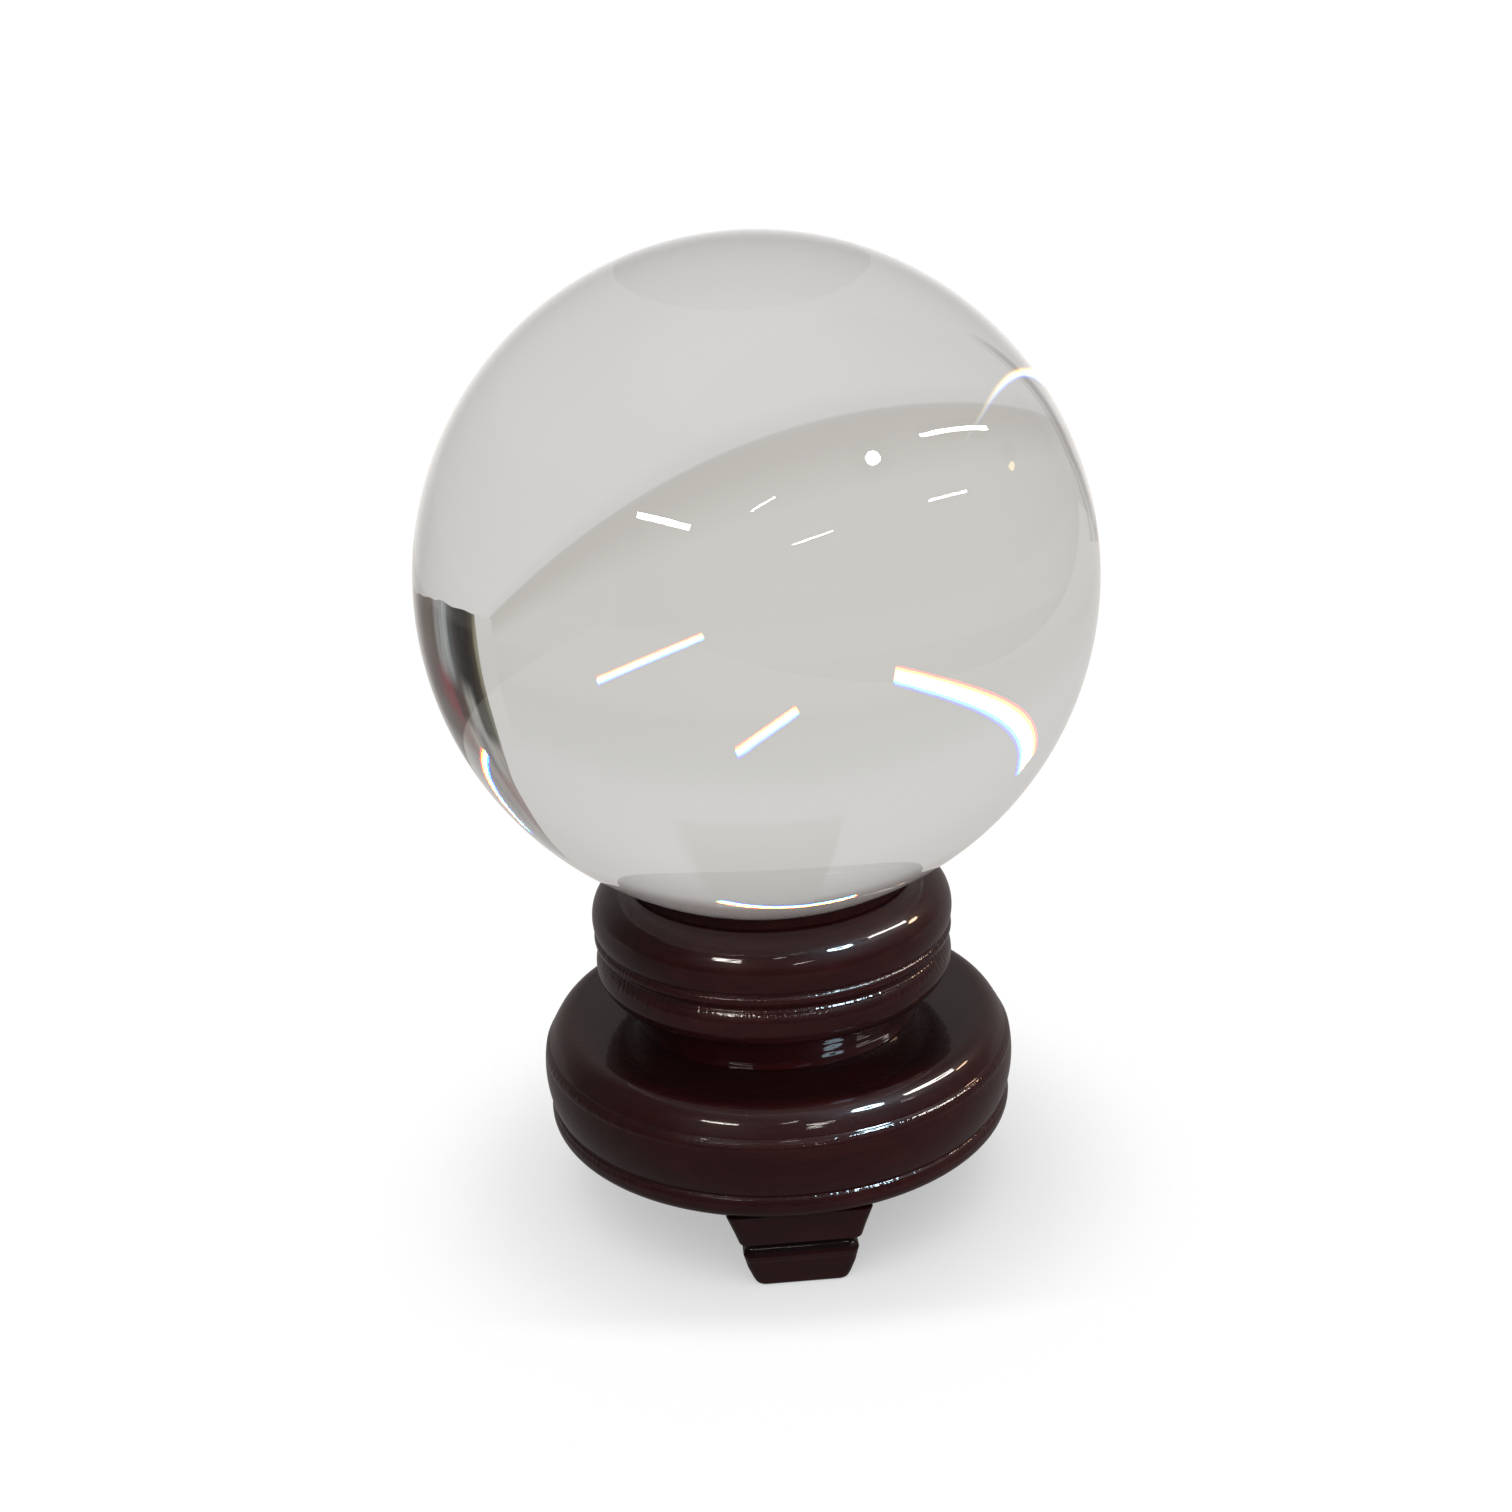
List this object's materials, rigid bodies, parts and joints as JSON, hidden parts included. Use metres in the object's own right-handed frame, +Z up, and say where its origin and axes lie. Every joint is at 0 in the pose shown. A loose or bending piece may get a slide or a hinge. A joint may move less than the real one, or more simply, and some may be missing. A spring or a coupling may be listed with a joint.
{
  "type": "crystal ball on a wooden stand",
  "caption": "Clear solid glass ball resting in a felt-lined dish on a turned, lacquered dark wood stand with a neck, a round base and short tapering feet.",
  "frame": {"origin": "on the plane the feet stand on, under the ball's centre", "axes": "+Z up, along the axis the ball and the turned stand share; the front foot is on the -Y side; +X to the right seen from the front"},
  "size_m": [0.1, 0.1, 0.1485],
  "materials": {
    "clear_glass": "polished, colourless, solid optical glass",
    "maroon_felt": "thin pressed felt",
    "lacquered_wood": "very dark red-brown stain under high-gloss lacquer",
    "beech": "plain, unfinished",
    "zinc_steel": "zinc plated"
  },
  "bodies": {
    "stand": {"collar": "lacquered_wood", "base_disc": "lacquered_wood", "foot_front": "lacquered_wood", "foot_rear_right": "lacquered_wood", "foot_rear_left": "lacquered_wood", "dowel_front_a": "beech", "dowel_front_b": "beech", "dowel_rear_right_a": "beech", "dowel_rear_right_b": "beech", "dowel_rear_left_a": "beech", "dowel_rear_left_b": "beech", "collar_screw": "zinc_steel"},
    "seat_ring": {"seat_liner": "maroon_felt"},
    "ball": {"crystal_ball": "clear_glass"}
  },
  "joints": [
    {"name": "ball_turn", "type": "hinge", "parent": "stand", "child": "seat_ring", "pos_m": [0, 0, 0.0985], "axis": [0, 0, 1], "continuous": true},
    {"name": "ball_lift", "type": "slide", "parent": "seat_ring", "child": "ball", "axis": [0, 0, 1], "range_m": [0, 0.03]}
  ]
}
